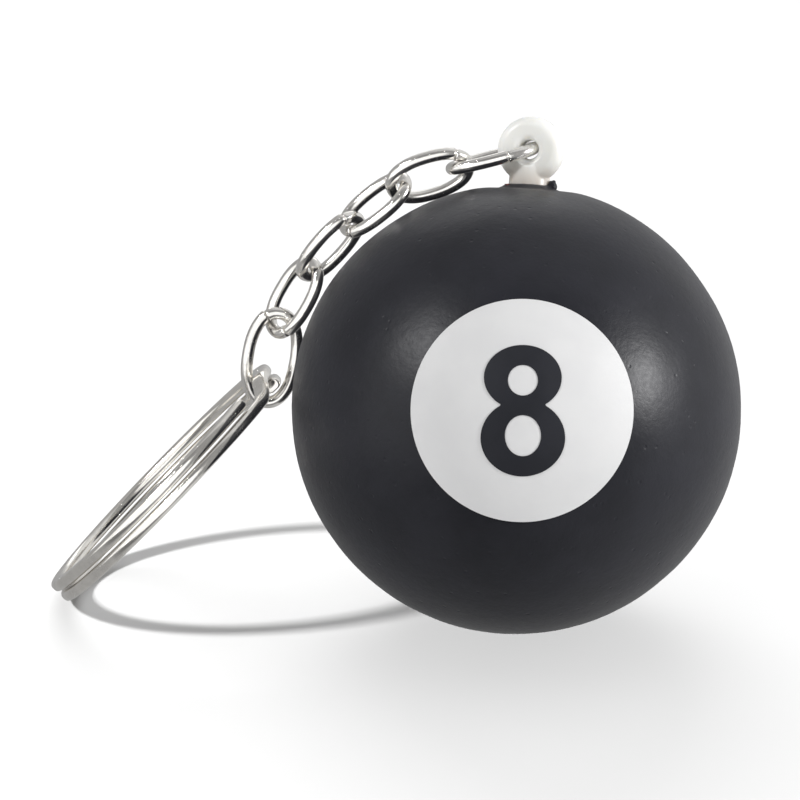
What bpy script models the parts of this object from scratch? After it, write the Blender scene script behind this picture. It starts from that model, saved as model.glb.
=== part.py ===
"""A key ring with a soft foam eight ball: ball, printed disc and numeral, nylon eyelet,
six chain links and a split ring. Metres, +Z up, standing on the plane Z = 0.

The ball rests on a small flat under its centre and leans back, so that its printed side
faces -Y and a little upwards. The chain lies over its left side (-X) and the split ring
leans on the ground beside it. The origin is the middle of the ball's rest flat.
"""

import math

import bmesh
import bpy
from mathutils import Matrix, Vector

# Ball
BALL_RADIUS = 0.0200
REST_FLAT_RADIUS = 0.0027
BALL_HEIGHT = math.sqrt(BALL_RADIUS**2 - REST_FLAT_RADIUS**2)
BALL_LEAN = math.radians(19.0)
SKIN_THICKNESS = 0.0006
FIT_GAP = 0.00008

# Print: a white disc with a numeral on it
DISC_TURN = math.radians(0.35)
DISC_DIP = math.radians(0.25)
DISC_HALF_ANGLE = math.radians(28.4)
INK_THICKNESS = 0.00006
INK_GAP = 0.00003
NUMERAL_TOP_BOWL = (0.00331, 0.00278, 0.00281)
NUMERAL_LOW_BOWL = (0.00360, 0.00327, -0.00233)
NUMERAL_TOP_COUNTER = (0.00128, 0.00130, 0.00259)
NUMERAL_LOW_COUNTER = (0.00154, 0.00175, -0.00213)
NUMERAL_WAIST_Z = 0.00050

# Eyelet: a round head on a neck, with a barbed shank in the foam
EYELET_LEAN = math.radians(3.3)
HEAD_TURN = math.radians(15.0)
HEAD_CENTRE = 0.02309
HEAD_RADIUS = 0.00295
HEAD_HALF_THICKNESS = 0.00115
HEAD_RIM_RADIUS = 0.0008
HOLE_RADIUS = 0.00085
HOLE_FLARE = 0.0006
NECK_RADIUS = 0.00183
NECK_DEPTH_SHARE = 0.80
NECK_END = 0.0188
SHANK_RADIUS = 0.0010
BARB_RADIUS = 0.0013
BARB_PITCH = 0.0018
BARB_COUNT = 4
SHANK_END = 0.0105

# Glue that fills the bore round the shank
BORE_RADIUS = 0.00195
BORE_END = 0.0098
GLUE_WALL = 0.00045
GLUE_TOP = 0.0185

# Chain: oval links of round wire, each closed by a butt joint
LINK_WIRE_RADIUS = 0.00055
LINK_WIDTH = 0.0054
LINK_SQUARENESS = 2.25
BUTT_GAP = 0.00006
CHAIN_ROUTE = (
    Vector((0.00161, 0.00793, 0.04167)),
    Vector((-0.00508, 0.00758, 0.04003)),
    Vector((-0.01024, 0.00719, 0.03848)),
    Vector((-0.01484, 0.00716, 0.03482)),
    Vector((-0.01824, 0.00716, 0.03069)),
    Vector((-0.02138, 0.00689, 0.02533)),
    Vector((-0.02244, 0.00656, 0.01879)),
)
LINK_LENGTHS = (0.00866, 0.00817, 0.00794, 0.00810, 0.00816, 0.00951)
LINK_ROLLS = (-82.6, 43.0, -56.0, 60.2, -47.4, 4.8)
LINK_SEAMS = (0.30, 0.62, 0.10, 0.60, 0.12, 0.57)

# Split ring: flattened wire wound twice round, with a joggle between the coils
RING_OUTER_RADIUS = 0.0140
RING_WIRE_WIDTH = 0.0015
RING_WIRE_THICKNESS = 0.00105
RING_WIRE_CORNER = 0.0004
RING_COIL_PITCH = 0.00125
RING_CENTRE = Vector((-0.03148, 0.00569, 0.01086))
RING_RISE = math.radians(45.8)
RING_TURN = math.radians(4.7)
RING_START = math.radians(42.0)
RING_JOGGLE = (math.radians(16.0), math.radians(32.0))
RING_END = math.radians(12.5)

# Facets
BALL_STEPS = 40
WIRE_SIDES = 8
LINK_STEPS = 26
RING_STEP = math.radians(7.0)


def clear_scene():
    for obj in list(bpy.data.objects):
        bpy.data.objects.remove(obj)


def make_material(name, colour, roughness, metallic=0.0, transmission=0.0):
    mat = bpy.data.materials.new(name)
    mat.use_nodes = True
    shader = mat.node_tree.nodes["Principled BSDF"]
    shader.inputs["Base Color"].default_value = (*colour, 1.0)
    shader.inputs["Roughness"].default_value = roughness
    shader.inputs["Metallic"].default_value = metallic
    shader.inputs["Transmission Weight"].default_value = transmission
    mat.diffuse_color = (*colour, 1.0)
    return mat


def make_empty(name, matrix, parent=None):
    empty = bpy.data.objects.new(name, None)
    empty.empty_display_size = 0.002
    bpy.context.scene.collection.objects.link(empty)
    empty.parent = parent
    empty.matrix_local = matrix
    return empty


def make_object(name, points, faces, mat=None, parent=None):
    mesh = bpy.data.meshes.new(name)
    mesh.from_pydata([tuple(p) for p in points], [], faces)
    shape = bmesh.new()
    shape.from_mesh(mesh)
    bmesh.ops.recalc_face_normals(shape, faces=shape.faces)
    shape.to_mesh(mesh)
    shape.free()
    mesh.shade_smooth()
    mesh.set_sharp_from_angle(angle=math.radians(40))
    obj = bpy.data.objects.new(name, mesh)
    bpy.context.scene.collection.objects.link(obj)
    if mat:
        mesh.materials.append(mat)
    obj.parent = parent
    return obj


def make_helper(name, points, faces, parent=None):
    helper = make_object(name, points, faces, parent=parent)
    helper.hide_render = True
    helper.display_type = "WIRE"
    return helper


def add_boolean(obj, operation, other):
    boolean = obj.modifiers.new(other.name, "BOOLEAN")
    boolean.operation = operation
    boolean.object = other
    boolean.solver = "EXACT"


def arc(radius, start, end, steps, centre=(0.0, 0.0)):
    """Points (r, z) round a centre; the angle runs from the +Z axis towards +R."""
    angles = [start + (end - start) * i / steps for i in range(steps + 1)]
    return [(centre[0] + radius * math.sin(a), centre[1] + radius * math.cos(a)) for a in angles]


def turned(profile, steps, closed=False, depth_share=1.0):
    """A profile of (r, z) points turned about Z. An open one starts and ends on the axis."""
    points, rings = [], []
    for r, z in profile:
        if r < 1e-9:
            rings.append([len(points)])
            points.append((0.0, 0.0, z))
            continue
        rings.append(list(range(len(points), len(points) + steps)))
        for i in range(steps):
            a = 2 * math.pi * i / steps
            points.append((r * math.cos(a), r * math.sin(a) * depth_share, z))
    faces = []
    pairs = list(zip(rings, rings[1:]))
    if closed:
        pairs.append((rings[-1], rings[0]))
    for low, high in pairs:
        for i in range(steps if len(low) + len(high) > 2 else 0):
            j = (i + 1) % steps
            if len(low) == 1:
                faces.append((low[0], high[i], high[j]))
            elif len(high) == 1:
                faces.append((low[i], low[j], high[0]))
            else:
                faces.append((low[i], low[j], high[j], high[i]))
    return points, faces


def swept(path, section):
    """A section of (across, up) points carried along a path of (point, across, up), with flat ends."""
    points, faces = [], []
    for centre, across, up in path:
        points.extend(centre + across * a + up * b for a, b in section)
    sides = len(section)
    for ring in range(len(path) - 1):
        first = ring * sides
        for i in range(sides):
            j = (i + 1) % sides
            faces.append((first + i, first + j, first + sides + j, first + sides + i))
    last = (len(path) - 1) * sides
    faces.append(tuple(reversed(range(sides))))
    faces.append(tuple(range(last, last + sides)))
    return points, faces


def round_section(radius, sides):
    angles = [2 * math.pi * (i + 0.5) / sides for i in range(sides)]
    return [(radius * math.cos(a), radius * math.sin(a)) for a in angles]


def rounded_box_section(width, height, corner, steps=2):
    """A rectangle with round corners, as (across, up) points."""
    points = []
    for quarter, (sx, sy) in enumerate(((1, 1), (-1, 1), (-1, -1), (1, -1))):
        for i in range(steps + 1):
            a = math.pi / 2 * (quarter + i / steps)
            across = sx * (width / 2 - corner) + corner * math.cos(a)
            points.append((across, sy * (height / 2 - corner) + corner * math.sin(a)))
    return points


def prism(outline, near, far):
    """An outline of (x, z) points drawn out along Y."""
    count = len(outline)
    points = [(x, near, z) for x, z in outline] + [(x, far, z) for x, z in outline]
    faces = [tuple(range(count)), tuple(reversed(range(count, 2 * count)))]
    for i in range(count):
        j = (i + 1) % count
        faces.append((i, i + count, j + count, j))
    return points, faces


def ellipse(half_width, half_height, centre_z, start=0.0, end=2 * math.pi, steps=24):
    """Points from the angle start towards end, which itself is left out."""
    angles = [start + (end - start) * i / steps for i in range(steps)]
    return [(half_width * math.cos(a), centre_z + half_height * math.sin(a)) for a in angles]


def numeral_outline():
    """The outside of the 8: two bowls that meet at the waist."""
    top_dip = math.asin((NUMERAL_WAIST_Z - NUMERAL_TOP_BOWL[2]) / NUMERAL_TOP_BOWL[1])
    low_rise = math.asin((NUMERAL_WAIST_Z - NUMERAL_LOW_BOWL[2]) / NUMERAL_LOW_BOWL[1])
    top = ellipse(*NUMERAL_TOP_BOWL, top_dip, math.pi - top_dip, steps=16)
    low = ellipse(*NUMERAL_LOW_BOWL, math.pi - low_rise, 2 * math.pi + low_rise, steps=18)
    return top + low


def ink_shell(base_radius, half_angle, rings):
    """A thin cap of ink over the ball, centred on -Y."""
    outer = arc(base_radius + INK_THICKNESS, 0.0, half_angle, rings)
    inner = arc(base_radius, half_angle, 0.0, rings)
    points, faces = turned(outer + inner, BALL_STEPS)
    return [(x, -z, y) for x, y, z in points], faces


def build_ball(pose, axis, skin_mat, foam_mat):
    """The skin with its opening for the eyelet and its rest flat, and the foam inside it."""
    inner_radius = BALL_RADIUS - SKIN_THICKNESS
    rings = BALL_STEPS // 2
    outer = arc(BALL_RADIUS, math.asin(BORE_RADIUS / BALL_RADIUS), math.pi, rings)
    inner = arc(inner_radius, math.pi, math.asin(BORE_RADIUS / inner_radius), rings)
    skin = make_object("outer_skin", *turned(outer + inner, BALL_STEPS, closed=True), skin_mat, axis)

    ground_size = 0.02
    corners = [(-ground_size, -ground_size), (ground_size, -ground_size), (ground_size, ground_size)]
    corners.append((-ground_size, ground_size))
    block, sides = prism(corners, -0.005, 0.0)
    block = [(x, z, y) for x, y, z in block]
    ground = make_helper("ground_cutter", block, sides)
    add_boolean(skin, "DIFFERENCE", ground)

    core_radius = inner_radius - FIT_GAP
    bore_edge = math.asin(BORE_RADIUS / core_radius)
    profile = [(0.0, BORE_END), (BORE_RADIUS, BORE_END)]
    profile += arc(core_radius, bore_edge, math.pi, rings)
    profile[-1] = (0.0, -core_radius)
    make_object("foam_core", *turned(profile, BALL_STEPS), foam_mat, axis)


def build_print(pose, white_mat, black_mat):
    """The white disc, and over it the numeral, cut from a cap of ink by its outline."""
    aim = Matrix.Rotation(DISC_TURN, 4, "Z") @ Matrix.Rotation(DISC_DIP, 4, "X")
    turn = make_empty("print_axis", aim, pose)
    disc_radius = BALL_RADIUS + INK_GAP
    make_object("printed_disc", *ink_shell(disc_radius, DISC_HALF_ANGLE, 7), white_mat, turn)

    numeral_radius = disc_radius + INK_THICKNESS + INK_GAP
    numeral = make_object(
        "printed_numeral", *ink_shell(numeral_radius, math.radians(19), 6), black_mat, turn
    )
    shapes = (
        ("numeral_outline", "INTERSECT", numeral_outline()),
        ("top_counter", "DIFFERENCE", ellipse(*NUMERAL_TOP_COUNTER, steps=16)),
        ("low_counter", "DIFFERENCE", ellipse(*NUMERAL_LOW_COUNTER, steps=16)),
    )
    for name, operation, outline in shapes:
        cutter = make_helper(name, *prism(outline, -0.025, -0.015), turn)
        add_boolean(numeral, operation, cutter)


def build_eyelet(axis, nylon_mat):
    """Head, neck and barbed shank in one piece, with a flared hole through the head."""
    head_place = Matrix.Translation((0, 0, HEAD_CENTRE)) @ Matrix.Rotation(-HEAD_TURN, 4, "Z")
    head_axis = make_empty("head_axis", head_place @ Matrix.Rotation(math.radians(90), 4, "X"), axis)

    flat = HEAD_RADIUS - HEAD_RIM_RADIUS
    level = HEAD_HALF_THICKNESS - HEAD_RIM_RADIUS
    front = arc(HEAD_RIM_RADIUS, 0.0, math.pi / 2, 3, (flat, level))
    back = arc(HEAD_RIM_RADIUS, math.pi / 2, math.pi, 3, (flat, -level))
    profile = [(0.0, HEAD_HALF_THICKNESS)] + front + back + [(0.0, -HEAD_HALF_THICKNESS)]
    eyelet = make_object("eyelet", *turned(profile, 28), nylon_mat, head_axis)

    neck = [(0.0, HEAD_CENTRE - 0.0004), (NECK_RADIUS - 0.0002, HEAD_CENTRE - 0.0004)]
    neck += [(NECK_RADIUS, HEAD_CENTRE - 0.0010), (NECK_RADIUS, NECK_END), (0.0, NECK_END)]
    neck_points, neck_faces = turned(neck, 20, depth_share=NECK_DEPTH_SHARE)

    shank = [(0.0, NECK_END + 0.0003), (SHANK_RADIUS, NECK_END + 0.0003)]
    for i in range(BARB_COUNT):
        top = NECK_END - 0.0006 - i * BARB_PITCH
        shank += [(SHANK_RADIUS, top), (BARB_RADIUS, top - 0.0001), (SHANK_RADIUS, top - 0.0012)]
    shank += [(SHANK_RADIUS, SHANK_END + 0.0004), (SHANK_RADIUS - 0.0004, SHANK_END), (0.0, SHANK_END)]
    add_boolean(eyelet, "UNION", make_helper("neck_shape", neck_points, neck_faces, axis))
    add_boolean(eyelet, "UNION", make_helper("shank_shape", *turned(shank, 14), axis))

    past = HEAD_HALF_THICKNESS + 0.0008
    mouth = HOLE_RADIUS + HOLE_FLARE
    centre = HEAD_HALF_THICKNESS - HOLE_FLARE
    flare = [(mouth - HOLE_FLARE * math.cos(a), centre + HOLE_FLARE * math.sin(a))
             for a in (math.pi / 2 * i / 4 for i in range(5))]
    half = flare + [(mouth, past), (0.0, past)]
    hole = [(r, -z) for r, z in reversed(half)] + half
    add_boolean(eyelet, "DIFFERENCE", make_helper("hole_cutter", *turned(hole, 16), head_axis))


def build_glue(axis, glue_mat):
    """The ring of glue between the shank and the wall of the bore."""
    outer, inner = BORE_RADIUS - FIT_GAP, BORE_RADIUS - FIT_GAP - GLUE_WALL
    low = BORE_END + FIT_GAP
    profile = [(inner, GLUE_TOP), (outer, GLUE_TOP), (outer, low), (inner, low)]
    make_object("glue_bead", *turned(profile, 16, closed=True), glue_mat, axis)


def rounded_power(value):
    """The cosine or sine of a full, slightly squared oval."""
    return math.copysign(abs(value) ** (2 / LINK_SQUARENESS), value)


def link_path(length, seam):
    """An oval in the XZ plane, its long side along X, open by the butt gap at the seam.

    seam is the joint's place as a share of the turn, from the far end's middle.
    """
    long_half = length / 2 - LINK_WIRE_RADIUS
    short_half = LINK_WIDTH / 2 - LINK_WIRE_RADIUS

    def at(angle):
        return Vector((long_half * rounded_power(math.cos(angle)), 0,
                       short_half * rounded_power(math.sin(angle))))

    seam_angle = 2 * math.pi * seam
    slope = (at(seam_angle + 0.01) - at(seam_angle - 0.01)).length / 0.02
    opening = BUTT_GAP / slope
    first, turn = seam_angle + opening / 2, 2 * math.pi - opening
    path = []
    for i in range(LINK_STEPS + 1):
        angle = first + turn * i / LINK_STEPS
        along = (at(angle + 0.01) - at(angle - 0.01)).normalized()
        path.append((at(angle), Vector((along.z, 0, -along.x)), Vector((0, 1, 0))))
    return path


def link_matrix(number):
    """Where a link lies: its length runs along the route, turned about it by its roll."""
    start, end = CHAIN_ROUTE[number], CHAIN_ROUTE[number + 1]
    along = (end - start).normalized()
    facing = Vector((0, math.cos(BALL_LEAN), -math.sin(BALL_LEAN)))
    side = along.cross(facing).normalized()
    back = side.cross(along).normalized()
    if back.dot(facing) < 0:
        back = -back
    roll = math.radians(LINK_ROLLS[number])
    width = side * math.cos(roll) + back * math.sin(roll)
    reach = LINK_LENGTHS[number] / 2 - LINK_WIRE_RADIUS
    centre = (start + end) / 2
    if number == 0:
        centre = start + along * reach
    if number == len(LINK_LENGTHS) - 1:
        centre = end - along * (reach - LINK_WIRE_RADIUS)
    turn = Matrix((along, width.cross(along), width)).transposed().to_4x4()
    return Matrix.Translation(centre) @ turn


def build_chain(chrome_mat):
    """Each link's mesh is placed by an empty on the joint that it swings about."""
    section = round_section(LINK_WIRE_RADIUS, WIRE_SIDES)
    for number, length in enumerate(LINK_LENGTHS):
        pivot = Matrix.Translation(CHAIN_ROUTE[number])
        joint = make_empty(f"link_{number + 1}_joint", pivot)
        points, faces = swept(link_path(length, LINK_SEAMS[number]), section)
        place = pivot.inverted() @ link_matrix(number)
        link = make_object(f"chain_link_{number + 1}", points, faces, chrome_mat, joint)
        link.matrix_local = place


def ring_axes():
    """The ring's own axes: towards its top, towards the back, and across its coils."""
    facing = Vector((0, math.cos(BALL_LEAN), -math.sin(BALL_LEAN)))
    up = Vector((0, math.sin(BALL_LEAN), math.cos(BALL_LEAN)))
    top = Vector((math.cos(RING_RISE), 0, 0)) + up * math.sin(RING_RISE)
    square = Vector((-math.sin(RING_RISE), 0, 0)) + up * math.cos(RING_RISE)
    back = facing * math.cos(RING_TURN) + square * math.sin(RING_TURN)
    across = square * math.cos(RING_TURN) - facing * math.sin(RING_TURN)
    return top, back, across


def build_split_ring(chrome_mat):
    top, back, across = ring_axes()
    radius = RING_OUTER_RADIUS - RING_WIRE_WIDTH / 2
    first, last = RING_JOGGLE[0] + 2 * math.pi, RING_JOGGLE[1] + 2 * math.pi
    end = RING_END + 4 * math.pi
    count = math.ceil((end - RING_START) / RING_STEP)
    path = []
    for i in range(count + 1):
        a = RING_START + (end - RING_START) * i / count
        share = min(max((a - first) / (last - first), 0.0), 1.0)
        offset = RING_COIL_PITCH * (0.5 - share * share * (3 - 2 * share))
        out = top * math.cos(a) - back * math.sin(a)
        path.append((out * radius + across * offset, out, across))
    section = rounded_box_section(RING_WIRE_WIDTH, RING_WIRE_THICKNESS, RING_WIRE_CORNER)
    points, faces = swept(path, section)
    pivot = make_empty("split_ring_joint", Matrix.Translation(CHAIN_ROUTE[-1]))
    ring = make_object("split_ring", points, faces, chrome_mat, pivot)
    ring.matrix_local = Matrix.Translation(RING_CENTRE - CHAIN_ROUTE[-1])


def main():
    clear_scene()
    skin_mat = make_material("black_foam_skin", (0.022, 0.023, 0.027), 0.5)
    foam_mat = make_material("grey_foam", (0.10, 0.10, 0.11), 0.9)
    white_mat = make_material("white_ink", (0.75, 0.75, 0.75), 0.5)
    black_mat = make_material("black_ink", (0.022, 0.023, 0.030), 0.5)
    nylon_mat = make_material("clear_nylon", (0.85, 0.85, 0.82), 0.35, transmission=0.3)
    glue_mat = make_material("hot_glue", (0.80, 0.76, 0.66), 0.4)
    chrome_mat = make_material("chrome_wire", (0.75, 0.74, 0.72), 0.12, metallic=1.0)

    lean = Matrix.Rotation(-BALL_LEAN, 4, "X")
    pose = make_empty("ball_pose", Matrix.Translation((0, 0, BALL_HEIGHT)) @ lean)
    axis = make_empty("eyelet_axis", Matrix.Rotation(EYELET_LEAN, 4, "Y"), pose)
    build_ball(pose, axis, skin_mat, foam_mat)
    build_print(pose, white_mat, black_mat)
    build_glue(axis, glue_mat)
    build_eyelet(axis, nylon_mat)
    build_chain(chrome_mat)
    build_split_ring(chrome_mat)


main()
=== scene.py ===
"""Looks of a soft foam eight-ball key ring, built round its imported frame."""

import math

import bmesh
import bpy
from mathutils import Matrix, Vector, noise


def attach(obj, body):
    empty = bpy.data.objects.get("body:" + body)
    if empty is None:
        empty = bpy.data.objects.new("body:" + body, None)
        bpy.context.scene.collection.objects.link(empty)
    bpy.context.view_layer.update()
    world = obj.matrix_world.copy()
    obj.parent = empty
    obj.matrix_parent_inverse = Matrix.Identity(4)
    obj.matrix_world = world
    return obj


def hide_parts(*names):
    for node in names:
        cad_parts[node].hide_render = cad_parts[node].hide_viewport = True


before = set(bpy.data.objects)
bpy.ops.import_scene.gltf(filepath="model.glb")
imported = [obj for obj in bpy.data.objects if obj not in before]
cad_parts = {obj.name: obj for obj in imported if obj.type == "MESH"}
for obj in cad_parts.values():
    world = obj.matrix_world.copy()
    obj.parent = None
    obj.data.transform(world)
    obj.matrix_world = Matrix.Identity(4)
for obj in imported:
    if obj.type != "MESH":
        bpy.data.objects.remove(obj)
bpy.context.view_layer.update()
SCENE = bpy.context.scene

# Where things are, in metres: the ball's own axes lean back about X
LEAN = math.radians(19.0)
BALL_R = 0.0200
REST_R = 0.0027
BALL_C = Vector((0, 0, math.sqrt(BALL_R**2 - REST_R**2)))
BALL_POSE = Matrix.Translation(BALL_C) @ Matrix.Rotation(-LEAN, 4, "X")
NECK_POSE = BALL_POSE @ Matrix.Rotation(math.radians(3.3), 4, "Y")
VIEW = Vector((0, math.cos(LEAN), -math.sin(LEAN)))
UP = Vector((0, math.sin(LEAN), math.cos(LEAN)))

WIRE_R = 0.00055
LINK_W = 0.0054
LINK_SQUARENESS = 2.25
ROUTE = [Vector(p) for p in (
    (0.00161, 0.00793, 0.04167), (-0.00508, 0.00758, 0.04003), (-0.01024, 0.00719, 0.03848),
    (-0.01484, 0.00716, 0.03482), (-0.01824, 0.00716, 0.03069), (-0.02138, 0.00689, 0.02533),
    (-0.02244, 0.00656, 0.01879))]
LENGTHS = (0.00866, 0.00817, 0.00794, 0.00810, 0.00816, 0.00951)
ROLLS = (-82.6, 43.0, -56.0, 60.2, -47.4, 4.8)
SEAMS = (0.30, 0.62, 0.10, 0.60, 0.12, 0.57)

# Camera: the scale is the one at the ball's centre
IMAGE_SIZE = 800
SENSOR_WIDTH = 36.0
CAMERA_DISTANCE = 0.450
PIXELS_PER_METRE = 11250.0
CAMERA_ACROSS = -0.01032
CAMERA_UP = 0.000820

# Studio: how bright the room is along the way to the camera, and from low left to high right
ROOM_FRONT = ((0.0, 1.0), (0.30, 1.0), (0.55, 0.45), (1.0, 0.40))
ROOM_RISE = ((0.0, 0.50), (0.35, 0.52), (0.80, 1.0), (1.0, 1.0))
ROOM_RISE_WAY = (0.90, 0.0, 0.30)
ROOM_STRENGTH = 0.71
# name, what it lights, direction from the ball, distance, width, height, watts
LAMPS = (
    ("key", "object", (-0.66, -0.33, 0.63), 0.42, 0.05, 0.05, 0.70),
    ("side", "object", (0.896, -0.287, 0.338), 0.42, 0.07, 0.11, 1.50),
    ("fill", "object", (-0.85, -0.50, 0.15), 0.50, 0.50, 0.40, 0.50),
    ("rim", "object", (-0.05, 0.86, 0.50), 0.50, 0.30, 0.20, 0.16),
    ("plate_front", "metal", (-0.25, -0.90, 0.20), 0.52, 0.80, 0.60, 1.60),
    ("floor_key", "floor", (-0.69, -0.27, 0.67), 1.30, 0.15, 0.15, 34.0),
    ("floor_back", "floor", (-0.10, 0.80, 0.60), 1.20, 0.80, 0.60, 9.5),
    ("floor_top", "floor", (0.0, 0.05, 1.0), 0.50, 0.50, 0.50, 0.45),
)
# Its shadow would cover the floor behind the object, so only the ring casts one from it
LAMP_OF_RING_SHADOW = "floor_key"
METAL_PIECES = ("link_1", "link_2", "link_3", "link_4", "link_5", "link_6", "key_ring")

# ---------------------------------------------------------------- mesh tools

def new_object(name, verts, faces, material=None):
    mesh = bpy.data.meshes.new(name)
    mesh.from_pydata([tuple(v) for v in verts], [], faces)
    shape = bmesh.new()
    shape.from_mesh(mesh)
    bmesh.ops.recalc_face_normals(shape, faces=shape.faces)
    shape.to_mesh(mesh)
    shape.free()
    mesh.shade_smooth()
    obj = bpy.data.objects.new(name, mesh)
    SCENE.collection.objects.link(obj)
    if material:
        mesh.materials.append(material)
    return obj


def settle(obj):
    """Applies an object's modifiers and its matrix, so that its mesh is in the row frame."""
    bpy.context.view_layer.update()
    graph = bpy.context.evaluated_depsgraph_get()
    mesh = bpy.data.meshes.new_from_object(obj.evaluated_get(graph))
    obj.modifiers.clear()
    old, obj.data = obj.data, mesh
    bpy.data.meshes.remove(old)
    mesh.transform(obj.matrix_world)
    obj.matrix_world = Matrix.Identity(4)
    return obj


def dress(obj, body, slot, *nodes):
    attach(obj, body)
    if nodes:
        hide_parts(*nodes)
    return obj


def lathe(profile, steps, closed=False, squash=1.0):
    """(r, z) points turned about Z; an open profile starts and ends on the axis."""
    verts, rings = [], []
    for r, z in profile:
        if r < 1e-9:
            rings.append([len(verts)])
            verts.append((0.0, 0.0, z))
            continue
        rings.append(range(len(verts), len(verts) + steps))
        for i in range(steps):
            a = 2 * math.pi * i / steps
            verts.append((r * math.cos(a), r * math.sin(a) * squash, z))
    faces = []
    pairs = list(zip(rings, rings[1:])) + ([(rings[-1], rings[0])] if closed else [])
    for low, high in pairs:
        for i in range(steps):
            j = (i + 1) % steps
            if len(low) == 1:
                faces.append((low[0], high[i], high[j]))
            elif len(high) == 1:
                faces.append((low[i], low[j], high[0]))
            else:
                faces.append((low[i], low[j], high[j], high[i]))
    return verts, faces


def sweep(path, sections):
    """Sections of (across, up) points carried along a path of (point, across, up), with end caps."""
    verts, faces = [], []
    for (centre, across, up), section in zip(path, sections):
        verts.extend(centre + across * a + up * b for a, b in section)
    sides = len(sections[0])
    for ring in range(len(path) - 1):
        first = ring * sides
        for i in range(sides):
            j = (i + 1) % sides
            faces.append((first + i, first + j, first + sides + j, first + sides + i))
    last = (len(path) - 1) * sides
    faces.append(tuple(reversed(range(sides))))
    faces.append(tuple(range(last, last + sides)))
    return verts, faces


def arc(radius, start, end, steps, centre=(0.0, 0.0)):
    angles = [start + (end - start) * i / steps for i in range(steps + 1)]
    return [(centre[0] + radius * math.sin(a), centre[1] + radius * math.cos(a)) for a in angles]


# ---------------------------------------------------------------- materials

class Shader:
    """A small helper for building a node material."""

    def __init__(self, name):
        self.material = bpy.data.materials.new(name)
        self.material.use_nodes = True
        self.tree = self.material.node_tree
        self.bsdf = self.tree.nodes["Principled BSDF"]
        self.coords = self.tree.nodes.new("ShaderNodeTexCoord").outputs["Object"]

    def node(self, kind, settings=None, **inputs):
        node = self.tree.nodes.new(kind)
        for key, value in (settings or {}).items():
            setattr(node, key, value)
        for key, value in inputs.items():
            self.feed(node.inputs[key.replace("_", " ")], value)
        return node

    def feed(self, socket, value):
        if isinstance(value, bpy.types.NodeSocket):
            self.tree.links.new(value, socket)
        else:
            socket.default_value = value

    def set(self, **inputs):
        for key, value in inputs.items():
            self.feed(self.bsdf.inputs[key.replace("_", " ")], value)

    def noise(self, scale, detail=3.0, rough=0.5, distortion=0.0):
        node = self.node("ShaderNodeTexNoise", Scale=scale, Detail=detail, Roughness=rough,
                         Distortion=distortion, Vector=self.coords)
        return node.outputs["Fac"]

    def cells(self, scale, feature="F1"):
        node = self.node("ShaderNodeTexVoronoi", {"feature": feature}, Scale=scale, Vector=self.coords)
        return node.outputs["Distance"]

    def remap(self, value, low, high, to_low=0.0, to_high=1.0):
        node = self.node("ShaderNodeMapRange", {"interpolation_type": "SMOOTHSTEP"}, Value=value)
        for key, number in (("From Min", low), ("From Max", high), ("To Min", to_low), ("To Max", to_high)):
            node.inputs[key].default_value = number
        return node.outputs["Result"]

    def maths(self, operation, a, b=0.0):
        node = self.node("ShaderNodeMath", {"operation": operation})
        self.feed(node.inputs[0], a)
        self.feed(node.inputs[1], b)
        return node.outputs[0]

    def mix(self, factor, a, b):
        node = self.node("ShaderNodeMix", {"data_type": "RGBA"})
        self.feed(node.inputs["Factor"], factor)
        self.feed(node.inputs[6], (*a, 1.0) if isinstance(a, tuple) else a)
        self.feed(node.inputs[7], (*b, 1.0) if isinstance(b, tuple) else b)
        return node.outputs[2]

    def bump(self, height, strength, distance, under=None):
        node = self.node("ShaderNodeBump", Height=height, Strength=strength, Distance=distance)
        if under is not None:
            self.feed(node.inputs["Normal"], under)
        return node.outputs["Normal"]


def skin_material():
    """Black coat on moulded foam: satin, with fine grain, sparse pits and dust."""
    s = Shader("ball_skin")
    grain = s.noise(2600, 4, 0.6)
    broad = s.noise(160, 3, 0.55)
    pits = s.remap(s.cells(700), 0.05, 0.16)
    dust = s.remap(s.cells(1500), 0.06, 0.035)
    dust = s.maths("MULTIPLY", dust, s.remap(s.noise(420, 2), 0.60, 0.68))
    base = s.mix(s.remap(broad, 0.3, 0.7), (0.0105, 0.0110, 0.0155), (0.0150, 0.0155, 0.0215))
    base = s.mix(s.maths("MULTIPLY", dust, 0.55), base, (0.16, 0.16, 0.17))
    rough = s.maths("ADD", s.remap(broad, 0.25, 0.75, 0.36, 0.42), s.remap(grain, 0.2, 0.8, -0.03, 0.03))
    normal = s.bump(pits, 0.35, 0.00006)
    normal = s.bump(grain, 0.30, 0.00006, normal)
    normal = s.bump(broad, 0.35, 0.00016, normal)
    s.set(Base_Color=base, Roughness=rough, Normal=normal, IOR=1.37)
    return s.material


def ink_material(name, light, dark, rough):
    """Pad-printed ink, which follows the grain of the foam under it."""
    s = Shader(name)
    grain = s.noise(2600, 4, 0.6)
    cloud = s.noise(240, 3, 0.55)
    s.set(
        Base_Color=s.mix(s.remap(cloud, 0.3, 0.7), dark, light),
        Roughness=s.remap(grain, 0.2, 0.8, rough - 0.04, rough + 0.04),
        Normal=s.bump(grain, 0.12, 0.00004),
        IOR=1.46,
    )
    return s.material


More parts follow.
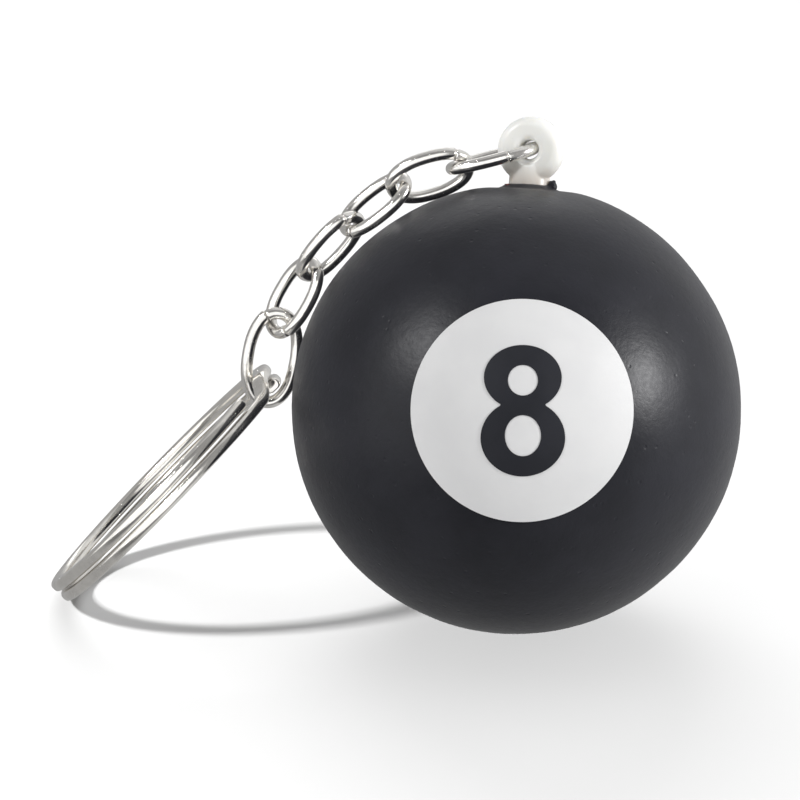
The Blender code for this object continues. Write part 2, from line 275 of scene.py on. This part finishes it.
def nylon_material():
    """Milky moulded nylon: light gets into it and spreads. Low down, round the neck, it is painted darker as
    painted shade.
    """
    s = Shader("nylon")
    cloud = s.noise(300, 3, 0.5, 0.4)
    fine = s.noise(1500, 2)
    # Painted shade: below about 41 mm up, the neck and the foot of the head are painted a darker brownish
    # grey
    height = s.node("ShaderNodeSeparateXYZ", Vector=s.coords).outputs["Z"]
    milk = s.mix(s.remap(cloud, 0.3, 0.7), (0.845, 0.845, 0.815), (0.88, 0.88, 0.86))
    s.set(
        Base_Color=s.mix(s.remap(height, 0.0390, 0.0412), (0.68, 0.63, 0.575), milk),
        Roughness=s.remap(fine, 0.2, 0.8, 0.27, 0.35),
        Normal=s.bump(cloud, 0.12, 0.00008),
        IOR=1.50,
    )
    s.bsdf.inputs["Subsurface Weight"].default_value = 1.0
    s.bsdf.inputs["Subsurface Radius"].default_value = (1.0, 0.97, 0.9)
    s.bsdf.inputs["Subsurface Scale"].default_value = 0.0007
    return s.material


def plated_material(name, tint, rough, dull):
    """Nickel plate over drawn wire: fine draw lines, rub marks and slightly dull patches."""
    s = Shader(name)
    cloud = s.noise(520, 4, 0.6, 0.3)
    waves = s.noise(1500, 3, 0.5)
    scuffs = s.remap(s.noise(5200, 2, 0.6, 1.5), 0.58, 0.72)
    smoky = tuple(c * 0.88 for c in tint)
    s.set(
        Metallic=1.0,
        Base_Color=s.mix(s.remap(cloud, 0.35, 0.7), tint, smoky),
        Roughness=s.maths("ADD", s.remap(cloud, 0.35, 0.75, rough, dull), s.maths("MULTIPLY", scuffs, 0.10)),
        Normal=s.bump(waves, 0.16, 0.00005),
    )
    return s.material


def glue_material():
    s = Shader("glue")
    cloud = s.noise(900, 3)
    s.set(
        Base_Color=s.mix(s.remap(cloud, 0.3, 0.7), (0.78, 0.72, 0.60), (0.86, 0.82, 0.72)),
        Roughness=s.remap(cloud, 0.2, 0.8, 0.3, 0.5),
        Normal=s.bump(cloud, 0.3, 0.0001),
    )
    s.bsdf.inputs["Subsurface Weight"].default_value = 0.5
    s.bsdf.inputs["Subsurface Scale"].default_value = 0.001
    return s.material


def stain_material():
    s = Shader("primer_stain")
    cloud = s.noise(2200, 3)
    s.set(
        Base_Color=s.mix(s.remap(cloud, 0.3, 0.7), (0.20, 0.018, 0.012), (0.05, 0.010, 0.010)),
        Roughness=0.45,
        Normal=s.bump(cloud, 0.4, 0.0001),
    )
    return s.material


# ---------------------------------------------------------------- the ball

def build_ball(skin):
    """A close-grained ball with a pressed flat and a lip where the eyelet goes in."""
    mesh = bpy.data.meshes.new("foam_ball")
    shape = bmesh.new()
    bmesh.ops.create_icosphere(shape, subdivisions=7, radius=BALL_R)
    neck = NECK_POSE.to_3x3() @ Vector((0, 0, 1))
    for vert in shape.verts:
        out = vert.co.normalized()
        swell = 0.00006 * (noise.noise(out * 2.3) + 0.4 * noise.noise(out * 6.1))
        swell += 0.000012 * noise.noise(out * 40.0)
        away = neck.angle(out) * BALL_R
        swell -= 0.00022 * math.exp(-((away - 0.0030) / 0.0011) ** 2)
        swell += 0.00020 * math.exp(-((away - 0.0020) / 0.0005) ** 2)
        point = BALL_C + out * (BALL_R - 0.00004 + swell)
        if point.z < 0.00045:
            point.z = max(point.z, 0.0) * 0.5 + 0.000002 if point.z < 0.00012 else point.z
            spread = Vector((point.x, point.y, 0))
            point += spread.normalized() * 0.00008 * max(0.0, 1 - abs(point.z - 0.0002) / 0.0003)
        vert.co = point
    shape.to_mesh(mesh)
    shape.free()
    mesh.shade_smooth()
    mesh.materials.append(skin)
    ball = bpy.data.objects.new("foam_ball", mesh)
    SCENE.collection.objects.link(ball)
    dress(ball, "ball", "ball_skin", "outer_skin", "foam_core")
    return ball


def ink_patch(name, inside, extent, radius, thickness, step, material, turn):
    """A thin layer over the ball's front, whose outline is where inside(x, z) changes sign.

    A square grid is cut along the outline, with a new point where a grid edge crosses it.
    """
    count = int(2 * extent / step)
    grid = [[(-extent + 2 * extent * i / count, -extent + 2 * extent * j / count) for i in range(count + 1)]
            for j in range(count + 1)]
    value = [[inside(*p) for p in row] for row in grid]
    verts, faces, edge_of, point_of = [], [], {}, {}

    def corner(i, j):
        if (i, j) not in point_of:
            point_of[i, j] = len(verts)
            verts.append(grid[j][i])
        return point_of[i, j]

    def crossing(a, b):
        key = tuple(sorted((a, b)))
        if key not in edge_of:
            (i0, j0), (i1, j1) = key
            p, q = Vector(grid[j0][i0]), Vector(grid[j1][i1])
            low, high = 0.0, 1.0
            keep = value[j0][i0] > 0
            for _ in range(14):
                mid = (low + high) / 2
                if (inside(*(p.lerp(q, mid))) > 0) == keep:
                    low = mid
                else:
                    high = mid
            edge_of[key] = len(verts)
            verts.append(tuple(p.lerp(q, (low + high) / 2)))
        return edge_of[key]

    for j in range(count):
        for i in range(count):
            loop = [(i, j), (i + 1, j), (i + 1, j + 1), (i, j + 1)]
            face = []
            for k, a in enumerate(loop):
                b = loop[(k + 1) % 4]
                in_a, in_b = value[a[1]][a[0]] > 0, value[b[1]][b[0]] > 0
                if in_a:
                    face.append(corner(*a))
                if in_a != in_b:
                    face.append(crossing(a, b))
            if len(face) > 2:
                faces.append(face)
    base = []
    for x, z in verts:
        y = -math.sqrt(radius**2 - x * x - z * z)
        base.append(Vector((x, y, z)))
    mesh = bpy.data.meshes.new(name)
    mesh.from_pydata([tuple(p) for p in base], [], faces)
    shape = bmesh.new()
    shape.from_mesh(mesh)
    bmesh.ops.remove_doubles(shape, verts=shape.verts, dist=step * 0.02)
    bmesh.ops.recalc_face_normals(shape, faces=shape.faces)
    if sum((f.normal.y * f.calc_area() for f in shape.faces)) > 0:
        bmesh.ops.reverse_faces(shape, faces=shape.faces)
    rim = [e for e in shape.edges if e.is_boundary]
    made = bmesh.ops.extrude_edge_only(shape, edges=rim)["geom"]
    for vert in (g for g in made if isinstance(g, bmesh.types.BMVert)):
        vert.co = vert.co.normalized() * (radius - thickness)
    shape.to_mesh(mesh)
    shape.free()
    mesh.shade_smooth()
    mesh.set_sharp_from_angle(angle=math.radians(50))
    mesh.materials.append(material)
    obj = bpy.data.objects.new(name, mesh)
    SCENE.collection.objects.link(obj)
    obj.matrix_world = BALL_POSE @ turn
    return settle(obj)


def in_ellipse(x, z, half_w, half_h, centre_z):
    """Positive inside, about the distance to the outline near it."""
    reach = math.hypot(x / half_w, (z - centre_z) / half_h)
    return (1 - reach) * min(half_w, half_h)


def in_disc(x, z):
    return 0.00953 - math.hypot(x, z)


def in_numeral(x, z):
    top = in_ellipse(x, z, 0.00331, 0.00278, 0.00281)
    low = in_ellipse(x, z, 0.00360, 0.00327, -0.00233)
    holes = max(in_ellipse(x, z, 0.00128, 0.00130, 0.00259), in_ellipse(x, z, 0.00154, 0.00175, -0.00213))
    return min(max(top, low), -holes)


def build_print(white, black):
    turn = Matrix.Rotation(math.radians(0.35), 4, "Z") @ Matrix.Rotation(math.radians(0.25), 4, "X")
    disc = ink_patch("white_spot", in_disc, 0.0098, BALL_R + 0.00009, 0.00016, 0.00028, white, turn)
    dress(disc, "ball", "white_ink", "printed_disc")
    numeral = ink_patch("numeral_8", in_numeral, 0.0062, BALL_R + 0.00014, 0.00006, 0.00012, black, turn)
    dress(numeral, "ball", "black_ink", "printed_numeral")


# ---------------------------------------------------------------- the eyelet

def build_eyelet(nylon, skin, stain):
    """Built at a thousand times its size, because the voxel remesher has a smallest voxel."""
    k = 1000.0
    head_c, head_r, half_t, rim = 23.09, 2.95, 1.15, 0.85
    hole_r, flare = 0.85, 0.60
    turn = Matrix.Rotation(math.radians(-15), 4, "Z") @ Matrix.Rotation(math.radians(90), 4, "X")
    head_at = Matrix.Translation((0, 0, head_c)) @ turn
    profile = [(0.0, half_t)] + arc(rim, 0, math.pi / 2, 10, (head_r - rim, half_t - rim))
    profile += arc(rim, math.pi / 2, math.pi, 10, (head_r - rim, rim - half_t)) + [(0.0, -half_t)]
    head = new_object("eyelet_nylon", *lathe(profile, 96))
    head.data.transform(head_at)
    neck = [(0.0, head_c - 0.4), (1.50, head_c - 0.4), (1.72, head_c - 1.6), (1.80, head_c - 2.6)]
    neck += [(1.83, head_c - 3.3), (1.83, 18.8), (0.0, 18.8)]
    shank = [(0.0, 19.1), (1.0, 19.1)]
    for i in range(4):
        top = 18.2 - 1.8 * i
        shank += [(1.0, top), (1.3, top - 0.1), (1.0, top - 1.2)]
    shank += [(1.0, 10.9), (0.6, 10.5), (0.0, 10.5)]
    mouth, level = hole_r + flare, half_t - flare
    curve = [(mouth - flare * math.cos(a), level + flare * math.sin(a))
             for a in (math.pi / 2 * i / 8 for i in range(9))]
    half = curve + [(mouth, half_t + 1.0), (0.0, half_t + 1.0)]
    cutter_profile = [(r, -z) for r, z in reversed(half)] + half
    parts = []
    for name, shape, place, how in (
        ("neck", lathe(neck, 64, squash=0.80), Matrix.Identity(4), "UNION"),
        ("shank", lathe(shank, 48), Matrix.Identity(4), "UNION"),
        ("hole", lathe(cutter_profile, 64), head_at, "DIFFERENCE"),
    ):
        part = new_object("tool_" + name, *shape)
        part.data.transform(place)
        part.hide_render = True
        boolean = head.modifiers.new(name, "BOOLEAN")
        boolean.operation, boolean.object, boolean.solver = how, part, "EXACT"
        parts.append(part)
    remesh = head.modifiers.new("voxels", "REMESH")
    remesh.mode, remesh.voxel_size = "VOXEL", 0.055
    smooth = head.modifiers.new("smooth", "SMOOTH")
    smooth.factor, smooth.iterations = 0.5, 14
    settle(head)
    for part in parts:
        bpy.data.objects.remove(part)
    head.data.transform(NECK_POSE @ Matrix.Scale(1 / k, 4))
    head.data.shade_smooth()
    head.data.materials.clear()
    head.data.materials.append(nylon)
    dress(head, "ball", "nylon", "eyelet")

    # A pebble of skin and two stains where the eyelet was pushed in
    blobs = (
        ("skin_bead", skin, (2.02, -0.55, 19.98), (0.42, 0.40, 0.46), 0.35, 5, "ball_skin"),
        ("skin_bead_foot", skin, (1.62, -0.95, 19.72), (0.38, 0.30, 0.26), 0.35, 9, "ball_skin"),
        ("stain_left", stain, (-1.50, -1.02, 19.82), (0.62, 0.22, 0.13), 0.5, 3, "black_ink"),
        ("stain_right", stain, (1.50, -1.18, 19.68), (0.30, 0.20, 0.16), 0.5, 7, "black_ink"),
    )
    for name, material, centre, radii, rough, seed, slot in blobs:
        mesh = bpy.data.meshes.new(name)
        shape = bmesh.new()
        bmesh.ops.create_icosphere(shape, subdivisions=5, radius=1.0)
        for vert in shape.verts:
            grow = 1 + rough * noise.noise(vert.co * 1.1 + Vector((seed, 0, 0)))
            grow += 0.08 * noise.noise(vert.co * 4.0 + Vector((0, seed, 0)))
            vert.co = Vector([c + v * r * grow for c, v, r in zip(centre, vert.co, radii)]) / k
        shape.to_mesh(mesh)
        shape.free()
        mesh.shade_smooth()
        mesh.materials.append(material)
        blob = bpy.data.objects.new(name, mesh)
        SCENE.collection.objects.link(blob)
        mesh.transform(NECK_POSE)
        dress(blob, "ball", slot)


# ---------------------------------------------------------------- the chain

def link_track(length):
    """A function of the angle round a slightly squared oval in the XZ plane: the point, and the way out."""
    long_half, short_half = length / 2 - WIRE_R, LINK_W / 2 - WIRE_R

    def power(value):
        return math.copysign(abs(value) ** (2 / LINK_SQUARENESS), value)

    def point(angle):
        return Vector((long_half * power(math.cos(angle)), 0, short_half * power(math.sin(angle))))

    def at(angle):
        along = (point(angle + 0.01) - point(angle - 0.01)).normalized()
        return point(angle), Vector((along.z, 0, -along.x))

    return at


def link_place(number):
    start, end = ROUTE[number], ROUTE[number + 1]
    along = (end - start).normalized()
    side = along.cross(VIEW).normalized()
    back = side.cross(along).normalized()
    if back.dot(VIEW) < 0:
        back = -back
    roll = math.radians(ROLLS[number])
    width = side * math.cos(roll) + back * math.sin(roll)
    reach = LENGTHS[number] / 2 - WIRE_R
    centre = (start + end) / 2
    if number == 0:
        centre = start + along * reach
    if number == len(LENGTHS) - 1:
        centre = end - along * (reach - WIRE_R)
    turn = Matrix((along, width.cross(along), width)).transposed().to_4x4()
    return Matrix.Translation(centre) @ turn


def build_link(number, plated):
    """Bent wire with a butt joint: the cut ends are rounded over and don't quite line up."""
    at = link_track(LENGTHS[number])
    seam, sides, steps = 2 * math.pi * SEAMS[number], 32, 220
    slope = (at(seam + 0.01)[0] - at(seam - 0.01)[0]).length / 0.02
    start, end = seam + 0.000025 / slope, seam + 2 * math.pi - 0.000025 / slope
    cuts = [c / slope for c in (0.0, 0.00002, 0.00006, 0.00012, 0.0002)]
    inner = [start + cuts[-1] + (end - start - 2 * cuts[-1]) * i / steps for i in range(steps + 1)]
    marks = [start + c for c in cuts[:-1]] + inner + [end - c for c in reversed(cuts[:-1])]
    path, sections = [], []
    for a in marks:
        point, out = at(a)
        near = min(a - start, end - a) * slope
        radius = WIRE_R * (0.86 + 0.14 * math.sqrt(min(1.0, near / 0.0001)) if near < 0.0001 else 1.0)
        slip = math.exp(-(near / 0.0009) ** 2) * (1 if a - start < end - a else -1)
        wander = Vector((noise.noise(point * 500 + Vector((number * 7, 0, 0))), 0,
                         noise.noise(point * 500 + Vector((0, number * 5, 9)))))
        point = point + out * 0.000022 * slip + Vector((0, 1, 0)) * 0.00003 * slip + wander * 0.00002
        path.append((point, out, Vector((0, 1, 0))))
        turns = [2 * math.pi * i / sides for i in range(sides)]
        sections.append([(radius * math.cos(t), radius * math.sin(t)) for t in turns])
    link = new_object(f"link_{number + 1}", *sweep(path, sections), plated)
    link.data.set_sharp_from_angle(angle=math.radians(50))
    link.matrix_world = link_place(number)
    settle(link)
    dress(link, f"link_{number + 1}", "chain_wire", f"chain_link_{number + 1}")


# ---------------------------------------------------------------- the split ring

def build_ring(plated):
    """Flattened wire wound twice round, which steps across from one coil to the other."""
    rise, tip = math.radians(45.8), math.radians(4.7)
    top = Vector((math.cos(rise), 0, 0)) + UP * math.sin(rise)
    square = Vector((-math.sin(rise), 0, 0)) + UP * math.cos(rise)
    back = VIEW * math.cos(tip) + square * math.sin(tip)
    across = square * math.cos(tip) - VIEW * math.sin(tip)
    centre = Vector((-0.03148, 0.00569, 0.01086))
    width, thick, corner, pitch = 0.0015, 0.00105, 0.00044, 0.00125
    radius = 0.0140 - width / 2
    start, end = math.radians(42.0), math.radians(12.5) + 4 * math.pi
    first, last = math.radians(16) + 2 * math.pi, math.radians(32) + 2 * math.pi

    def section(shrink):
        points = []
        w, h, c = width * shrink, thick * shrink, corner * shrink
        for quarter, (sx, sy) in enumerate(((1, 1), (-1, 1), (-1, -1), (1, -1))):
            for i in range(8):
                a = math.pi / 2 * (quarter + i / 7)
                points.append((sx * (w / 2 - c) + c * math.cos(a), sy * (h / 2 - c) + c * math.sin(a)))
        return points

    steps = 520
    marks = [start + (end - start) * i / steps for i in range(steps + 1)]
    cuts = [0.00001, 0.00004, 0.0001, 0.0002]
    first_cuts = [start] + [start + c / radius for c in cuts]
    last_cuts = [end - c / radius for c in reversed(cuts)] + [end]
    marks = first_cuts + marks[2:-2] + last_cuts
    path, sections = [], []
    for a in marks:
        share = min(max((a - first) / (last - first), 0.0), 1.0)
        offset = pitch * (0.5 - share * share * (3 - 2 * share))
        out = top * math.cos(a) - back * math.sin(a)
        near = min(a - start, end - a) * radius
        shrink = 1.0 if near > 0.00018 else 0.78 + 0.22 * math.sqrt(max(0.0, 1 - (1 - near / 0.00018) ** 2))
        path.append((centre + out * radius + across * offset, out, across))
        sections.append(section(shrink))
    ring = new_object("key_ring", *sweep(path, sections), plated)
    ring.data.set_sharp_from_angle(angle=math.radians(50))
    dress(ring, "split_ring", "ring_wire", "split_ring")


# ---------------------------------------------------------------- studio

def light_group(name, objects, state):
    """A collection that a lamp is linked to, or kept from."""
    group = bpy.data.collections.new(name)
    for obj in objects:
        group.objects.link(obj)
    for entry in group.collection_objects:
        entry.light_linking.link_state = state
    return group


def build_studio(metal_pieces):
    floor = bpy.data.meshes.new("floor")
    size = 0.9
    corners = [(-size, -size, 0), (size, -size, 0), (size, size, 0), (-size, size, 0)]
    floor.from_pydata(corners, [], [(0, 1, 2, 3)])
    s = Shader("floor_paper")
    tone = s.noise(30, 3)
    s.set(Base_Color=s.mix(tone, (0.45, 0.45, 0.45), (0.47, 0.47, 0.47)), Roughness=0.75)
    s.bsdf.inputs["Specular IOR Level"].default_value = 0.2
    floor.materials.append(s.material)
    floor = bpy.data.objects.new("floor", floor)
    floor.location.z = -0.00003
    floor.visible_glossy = False
    SCENE.collection.objects.link(floor)

    # A white room that is darker behind the camera, and on the left
    world = bpy.data.worlds.new("studio")
    SCENE.world = world
    world.use_nodes = True
    tree = world.node_tree
    coords = tree.nodes.new("ShaderNodeTexCoord").outputs["Generated"]
    grey = None
    for way, stops, low in ((-VIEW, ROOM_FRONT, 0.0), (Vector(ROOM_RISE_WAY), ROOM_RISE, -1.0)):
        along = tree.nodes.new("ShaderNodeVectorMath")
        along.operation = "DOT_PRODUCT"
        along.inputs[1].default_value = way.normalized()
        place = tree.nodes.new("ShaderNodeMapRange")
        place.inputs["From Min"].default_value = low
        ramp = tree.nodes.new("ShaderNodeValToRGB")
        ramp.color_ramp.interpolation = "EASE"
        while len(ramp.color_ramp.elements) < len(stops):
            ramp.color_ramp.elements.new(0.5)
        for element, (position, level) in zip(ramp.color_ramp.elements, stops):
            element.position = position
            element.color = (level, level, level, 1)
        tree.links.new(coords, along.inputs[0])
        tree.links.new(along.outputs["Value"], place.inputs["Value"])
        tree.links.new(place.outputs["Result"], ramp.inputs["Fac"])
        if grey is None:
            grey = ramp.outputs["Color"]
        else:
            both = tree.nodes.new("ShaderNodeVectorMath")
            both.operation = "MULTIPLY"
            tree.links.new(grey, both.inputs[0])
            tree.links.new(ramp.outputs["Color"], both.inputs[1])
            tree.links.new(both.outputs["Vector"], tree.nodes["Background"].inputs["Color"])
    tree.nodes["Background"].inputs["Strength"].default_value = ROOM_STRENGTH

    receivers = {
        "floor": light_group("floor_only", [floor], "INCLUDE"),
        "object": light_group("all_but_floor", [floor], "EXCLUDE"),
        "metal": light_group("metal_only", metal_pieces, "INCLUDE"),
    }
    for name, lights, direction, distance, wide, tall, power in LAMPS:
        data = bpy.data.lights.new(name, "AREA")
        data.shape, data.size, data.size_y, data.energy = "RECTANGLE", wide, tall, power
        lamp = bpy.data.objects.new(name, data)
        direction = Vector(direction).normalized()
        lamp.location = BALL_C + direction * distance
        lamp.rotation_euler = (-direction).to_track_quat("-Z", "Y").to_euler()
        SCENE.collection.objects.link(lamp)
        lamp.light_linking.receiver_collection = receivers[lights]
        if name == LAMP_OF_RING_SHADOW:
            ring = SCENE.objects["key_ring"]
            lamp.light_linking.blocker_collection = light_group("ring_only", [ring], "INCLUDE")


def build_camera():
    data = bpy.data.cameras.new("camera")
    data.sensor_width = SENSOR_WIDTH
    data.lens = SENSOR_WIDTH * PIXELS_PER_METRE * CAMERA_DISTANCE / IMAGE_SIZE
    data.clip_start, data.clip_end = 0.01, 10
    camera = bpy.data.objects.new("camera", data)
    camera.location = BALL_C + Vector((CAMERA_ACROSS, 0, 0)) + UP * CAMERA_UP - VIEW * CAMERA_DISTANCE
    camera.rotation_euler = (math.radians(90) - LEAN, 0, 0)
    SCENE.collection.objects.link(camera)
    SCENE.camera = camera


def main():
    build_camera()
    SCENE.view_settings.view_transform = "Standard"
    skin = skin_material()
    nylon = nylon_material()
    build_ball(skin)
    build_print(
        ink_material("white_ink", (0.68, 0.68, 0.682), (0.65, 0.65, 0.655), 0.5),
        ink_material("black_ink", (0.0145, 0.0155, 0.022), (0.0105, 0.0115, 0.017), 0.5),
    )
    build_eyelet(nylon, skin, stain_material())
    plated = plated_material("chain_wire", (0.93, 0.91, 0.875), 0.13, 0.26)
    for number in range(len(LENGTHS)):
        build_link(number, plated)
    build_ring(plated_material("ring_wire", (0.95, 0.925, 0.88), 0.12, 0.24))
    build_studio([SCENE.objects[name] for name in METAL_PIECES])
    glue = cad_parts["glue_bead"]
    glue.data.materials.clear()
    glue.data.materials.append(glue_material())


main()
